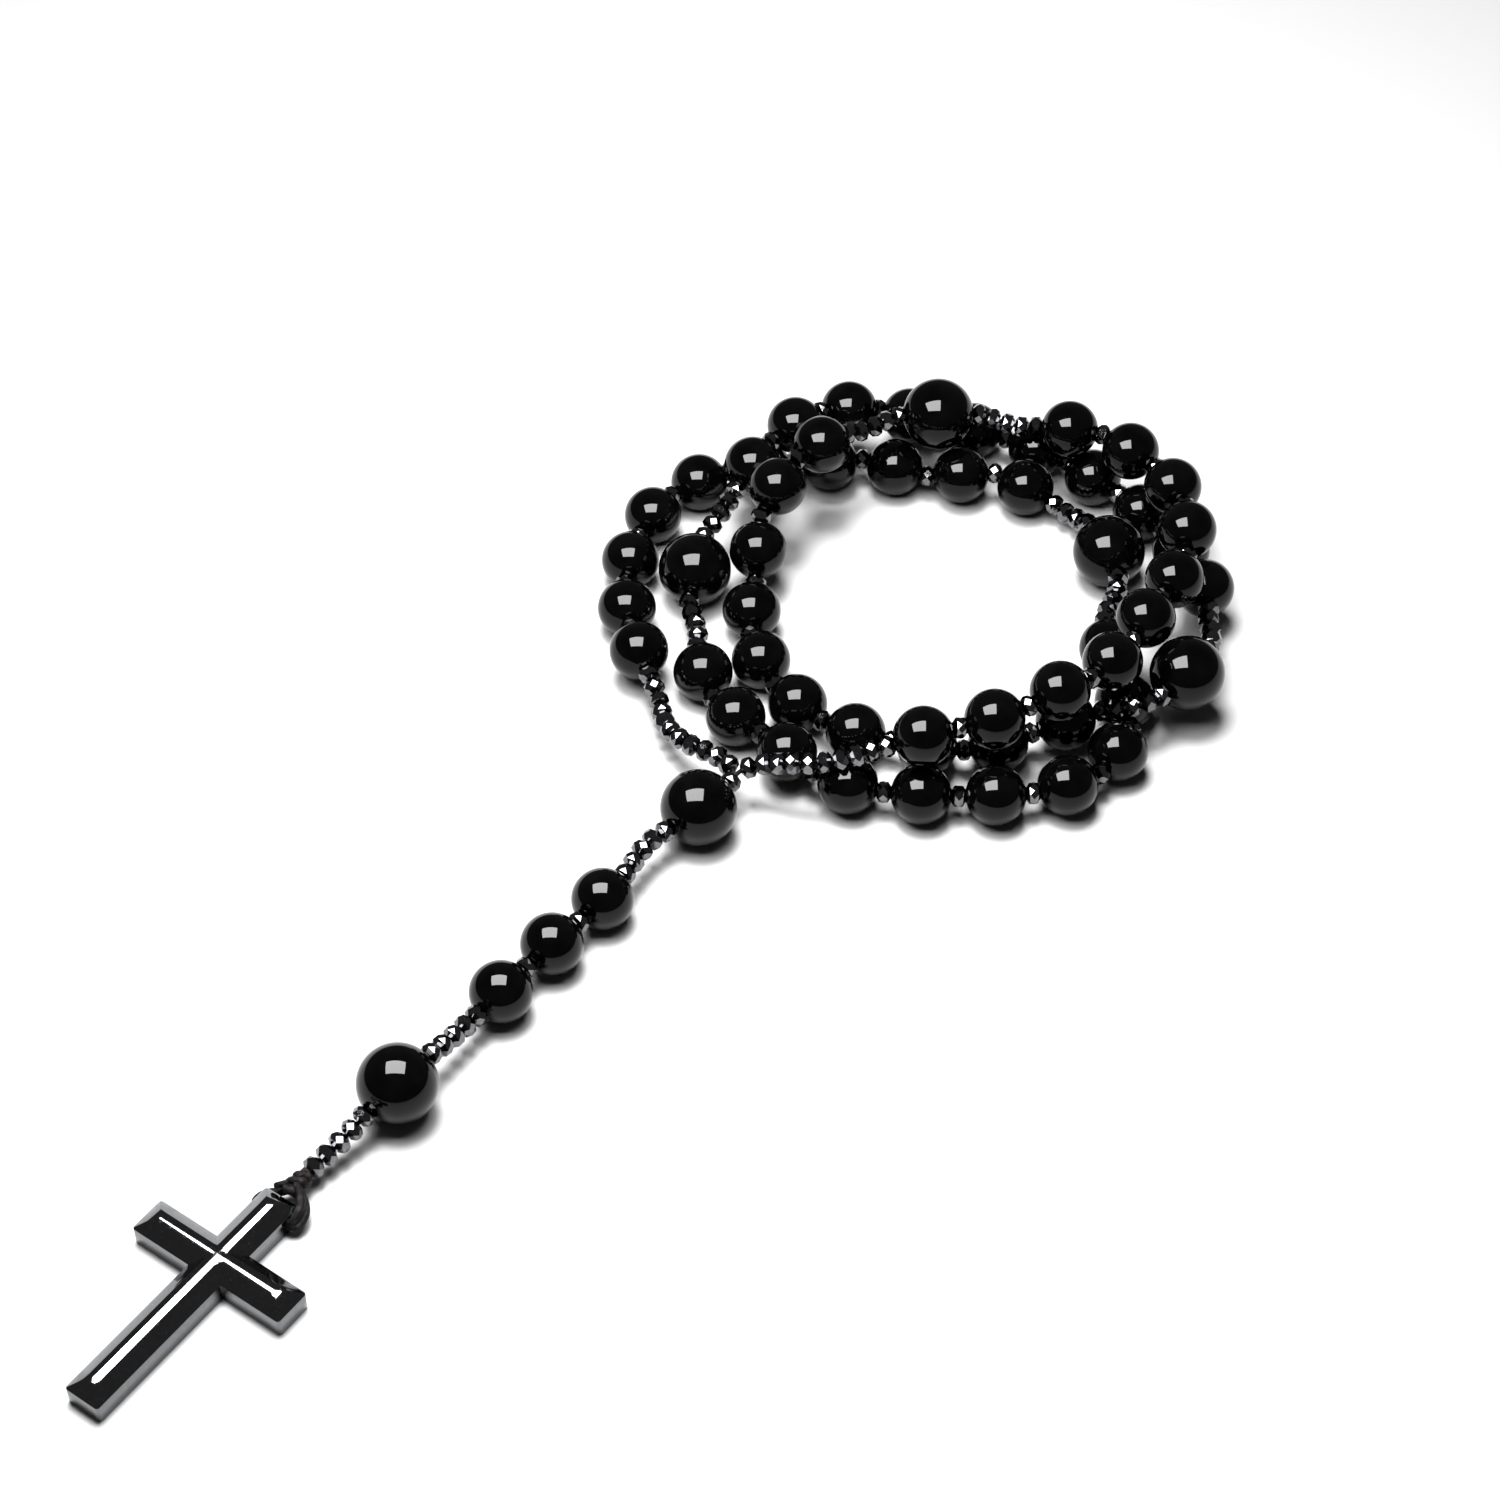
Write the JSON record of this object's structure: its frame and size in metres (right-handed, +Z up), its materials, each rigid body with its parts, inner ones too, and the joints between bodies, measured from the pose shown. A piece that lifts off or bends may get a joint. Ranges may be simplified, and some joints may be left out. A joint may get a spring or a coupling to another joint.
{
  "type": "rosary",
  "caption": "Rosary of round polished black beads and small faceted metallic spacers on a waxed cord, with a knotted drop and a plain bevelled cross, laid in a loose coil.",
  "frame": {"origin": "where the cross's two bars cross, on its flat back, which lies on the table", "axes": "+Z up from the table; the head of the cross points 54.3 degrees from +X towards +Y, and the coil lies beyond it towards +X and +Y"},
  "size_m": [0.1426, 0.1683, 0.0174],
  "materials": {
    "onyx": "high polish, glassy black",
    "hematite": "metallic grey, cut and polished facets",
    "hematite_cross": "metallic dark grey, polished",
    "waxed_cord": "twisted, waxed, low sheen"
  },
  "bodies": {
    "coil": {"junction_spacer": "hematite", "center_bead": "onyx", "strand_right_spacers": "hematite", "decade_1_beads": "onyx", "decade_1_spacers": "hematite", "father_1_spacers_before": "hematite", "father_1_spacers_after": "hematite", "decade_2_beads": "onyx", "decade_2_spacers": "hematite", "father_2_spacers_before": "hematite", "father_2_spacers_after": "hematite", "decade_3_beads": "onyx", "decade_3_spacers": "hematite", "father_3_spacers_before": "hematite", "father_3_spacers_after": "hematite", "decade_4_beads": "onyx", "decade_4_spacers": "hematite", "father_4_spacers_before": "hematite", "father_4_spacers_after": "hematite", "decade_5_beads": "onyx", "decade_5_spacers": "hematite", "strand_left_spacers": "hematite", "loop_cord": "waxed_cord", "drop_cord": "waxed_cord"},
    "drop_spacer_01": {"drop_spacer_01": "hematite"},
    "drop_spacer_02": {"drop_spacer_02": "hematite"},
    "drop_spacer_03": {"drop_spacer_03": "hematite"},
    "drop_spacer_04": {"drop_spacer_04": "hematite"},
    "drop_spacer_05": {"drop_spacer_05": "hematite"},
    "drop_small_bead_1": {"drop_small_bead_1": "onyx"},
    "drop_spacer_06": {"drop_spacer_06": "hematite"},
    "drop_small_bead_2": {"drop_small_bead_2": "onyx"},
    "drop_spacer_07": {"drop_spacer_07": "hematite"},
    "drop_small_bead_3": {"drop_small_bead_3": "onyx"},
    "drop_spacer_08": {"drop_spacer_08": "hematite"},
    "drop_spacer_09": {"drop_spacer_09": "hematite"},
    "drop_spacer_10": {"drop_spacer_10": "hematite"},
    "drop_spacer_11": {"drop_spacer_11": "hematite"},
    "drop_spacer_12": {"drop_spacer_12": "hematite"},
    "drop_large_bead": {"drop_large_bead": "onyx"},
    "drop_spacer_13": {"drop_spacer_13": "hematite"},
    "drop_spacer_14": {"drop_spacer_14": "hematite"},
    "drop_spacer_15": {"drop_spacer_15": "hematite"},
    "drop_spacer_16": {"drop_spacer_16": "hematite"},
    "drop_spacer_17": {"drop_spacer_17": "hematite"},
    "cord_end": {"knot": "waxed_cord", "cross_loop": "waxed_cord"},
    "cross": {"cross": "hematite_cross"},
    "father_1_bead": {"father_1_bead": "onyx"},
    "father_2_bead": {"father_2_bead": "onyx"},
    "father_3_bead": {"father_3_bead": "onyx"},
    "father_4_bead": {"father_4_bead": "onyx"}
  },
  "joints": [
    {"name": "drop_side_bend_01", "type": "hinge", "parent": "coil", "child": "drop_spacer_01", "pos_m": [0.05118, 0.06536, 0.00474], "axis": [0, 0, 1], "range_deg": [-11, 23], "stiffness_Nm_per_rad": 0.0003, "deforming": ["drop_cord"]},
    {"name": "drop_up_bend_01", "type": "hinge", "parent": "drop_spacer_01", "child": "drop_spacer_02", "pos_m": [0.04951, 0.06409, 0.00488], "axis": [0.6816, -0.7317, 0], "range_deg": [-11, 2], "stiffness_Nm_per_rad": 0.0003, "deforming": ["drop_cord"]},
    {"name": "drop_side_bend_02", "type": "hinge", "parent": "drop_spacer_02", "child": "drop_spacer_03", "pos_m": [0.04812, 0.06251, 0.00485], "axis": [0, 0, 1], "range_deg": [-21, 1], "stiffness_Nm_per_rad": 0.0003, "deforming": ["drop_cord"]},
    {"name": "drop_up_bend_02", "type": "hinge", "parent": "drop_spacer_03", "child": "drop_spacer_04", "pos_m": [0.04703, 0.06073, 0.00462], "axis": [0.87, -0.4931, 0], "range_deg": [-11, 13], "stiffness_Nm_per_rad": 0.0003, "deforming": ["drop_cord"]},
    {"name": "drop_side_bend_03", "type": "hinge", "parent": "drop_spacer_04", "child": "drop_spacer_05", "pos_m": [0.04606, 0.05888, 0.00444], "axis": [0, 0, 1], "range_deg": [-8, 17], "stiffness_Nm_per_rad": 0.0003, "deforming": ["drop_cord"]},
    {"name": "drop_up_bend_03", "type": "hinge", "parent": "drop_spacer_05", "child": "drop_small_bead_1", "pos_m": [0.04494, 0.05712, 0.00417], "axis": [-0.8294, 0.5587, 0], "range_deg": [-22, 13], "stiffness_Nm_per_rad": 0.0003, "deforming": ["drop_cord"]},
    {"name": "drop_side_bend_04", "type": "hinge", "parent": "drop_small_bead_1", "child": "drop_spacer_06", "pos_m": [0.04054, 0.05094, 0.00383], "axis": [0, 0, -1], "range_deg": [-23, 7], "stiffness_Nm_per_rad": 0.0003, "deforming": ["drop_cord"]},
    {"name": "drop_up_bend_04", "type": "hinge", "parent": "drop_spacer_06", "child": "drop_small_bead_2", "pos_m": [0.0391, 0.04944, 0.00411], "axis": [-0.7433, 0.669, 0], "range_deg": [-10, 26], "stiffness_Nm_per_rad": 0.0003, "deforming": ["drop_cord"]},
    {"name": "drop_side_bend_05", "type": "hinge", "parent": "drop_small_bead_2", "child": "drop_spacer_07", "pos_m": [0.03421, 0.04364, 0.00409], "axis": [0, 0, -1], "range_deg": [-14, 20], "stiffness_Nm_per_rad": 0.0003, "deforming": ["drop_cord"]},
    {"name": "drop_up_bend_05", "type": "hinge", "parent": "drop_spacer_07", "child": "drop_small_bead_3", "pos_m": [0.03294, 0.04198, 0.00388], "axis": [0.8007, -0.5991, 0], "range_deg": [-11, 25], "stiffness_Nm_per_rad": 0.0003, "deforming": ["drop_cord"]},
    {"name": "drop_side_bend_06", "type": "hinge", "parent": "drop_small_bead_3", "child": "drop_spacer_08", "pos_m": [0.02845, 0.03586, 0.00412], "axis": [0, 0, 1], "range_deg": [-19, 17], "stiffness_Nm_per_rad": 0.0003, "deforming": ["drop_cord"]},
    {"name": "drop_up_bend_06", "type": "hinge", "parent": "drop_spacer_08", "child": "drop_spacer_09", "pos_m": [0.02724, 0.03415, 0.00424], "axis": [-0.8142, 0.5806, 0], "range_deg": [-13, 12], "stiffness_Nm_per_rad": 0.0003, "deforming": ["drop_cord"]},
    {"name": "drop_side_bend_07", "type": "hinge", "parent": "drop_spacer_09", "child": "drop_spacer_10", "pos_m": [0.02601, 0.03245, 0.00439], "axis": [0, 0, -1], "range_deg": [-13, 12], "stiffness_Nm_per_rad": 0.0003, "deforming": ["drop_cord"]},
    {"name": "drop_up_bend_07", "type": "hinge", "parent": "drop_spacer_10", "child": "drop_spacer_11", "pos_m": [0.02477, 0.03077, 0.00457], "axis": [0.7975, -0.6033, 0], "range_deg": [-7, 18], "stiffness_Nm_per_rad": 0.0003, "deforming": ["drop_cord"]},
    {"name": "drop_side_bend_08", "type": "hinge", "parent": "drop_spacer_11", "child": "drop_spacer_12", "pos_m": [0.02351, 0.02913, 0.00494], "axis": [0, 0, -1], "range_deg": [-14, 11], "stiffness_Nm_per_rad": 0.0003, "deforming": ["drop_cord"]},
    {"name": "drop_up_bend_08", "type": "hinge", "parent": "drop_spacer_12", "child": "drop_large_bead", "pos_m": [0.02221, 0.02755, 0.00543], "axis": [-0.7694, 0.6388, 0], "range_deg": [-1, 35], "stiffness_Nm_per_rad": 0.0003, "deforming": ["drop_cord"]},
    {"name": "drop_side_bend_09", "type": "hinge", "parent": "drop_large_bead", "child": "drop_spacer_13", "pos_m": [0.016, 0.02017, 0.00482], "axis": [0, 0, 1], "range_deg": [-6, 8], "stiffness_Nm_per_rad": 0.0003, "deforming": ["drop_cord"]},
    {"name": "drop_up_bend_09", "type": "hinge", "parent": "drop_spacer_13", "child": "drop_spacer_14", "pos_m": [0.0147, 0.01869, 0.00408], "axis": [0.744, -0.6682, 0], "range_deg": [-7, 18], "stiffness_Nm_per_rad": 0.0003, "deforming": ["drop_cord"]},
    {"name": "drop_side_bend_10", "type": "hinge", "parent": "drop_spacer_14", "child": "drop_spacer_15", "pos_m": [0.01333, 0.0172, 0.00353], "axis": [0, 0, -1], "range_deg": [-13, 12], "stiffness_Nm_per_rad": 0.0003, "deforming": ["drop_cord"]},
    {"name": "drop_up_bend_10", "type": "hinge", "parent": "drop_spacer_15", "child": "drop_spacer_16", "pos_m": [0.01193, 0.01569, 0.00312], "axis": [0.732, -0.6813, 0], "range_deg": [-11, 14], "stiffness_Nm_per_rad": 0.0003, "deforming": ["drop_cord"]},
    {"name": "drop_side_bend_11", "type": "hinge", "parent": "drop_spacer_16", "child": "drop_spacer_17", "pos_m": [0.01052, 0.01418, 0.00275], "axis": [0, 0, -1], "range_deg": [-13, 13], "stiffness_Nm_per_rad": 0.0003, "deforming": ["drop_cord"]},
    {"name": "drop_up_bend_11", "type": "hinge", "parent": "drop_spacer_17", "child": "cord_end", "pos_m": [0.0091, 0.01267, 0.0024], "axis": [-0.7729, 0.6345, 0], "range_deg": [-20, 1], "stiffness_Nm_per_rad": 0.0003, "deforming": ["drop_cord"]},
    {"name": "cross_swing", "type": "hinge", "parent": "cord_end", "child": "cross", "pos_m": [0.00537, 0.00747, 0.00175], "axis": [-0.8121, 0.5835, 0], "range_deg": [-5, 75], "deforming": ["cross_loop"]},
    {"name": "father_1_bead_spin", "type": "hinge", "parent": "coil", "child": "father_1_bead", "pos_m": [0.08786, 0.13774, 0.01178], "axis": [-0.9813, -0.1636, 0.1013], "continuous": true},
    {"name": "father_2_bead_spin", "type": "hinge", "parent": "coil", "child": "father_2_bead", "pos_m": [0.11919, 0.09039, 0.00771], "axis": [0.6138, 0.7885, -0.0397], "continuous": true},
    {"name": "father_3_bead_spin", "type": "hinge", "parent": "coil", "child": "father_3_bead", "pos_m": [0.05372, 0.11297, 0.00518], "axis": [-0.1753, -0.9724, -0.1541], "continuous": true},
    {"name": "father_4_bead_spin", "type": "hinge", "parent": "coil", "child": "father_4_bead", "pos_m": [0.11094, 0.11676, 0.005], "axis": [-0.1884, 0.9751, -0.1172], "continuous": true}
  ]
}
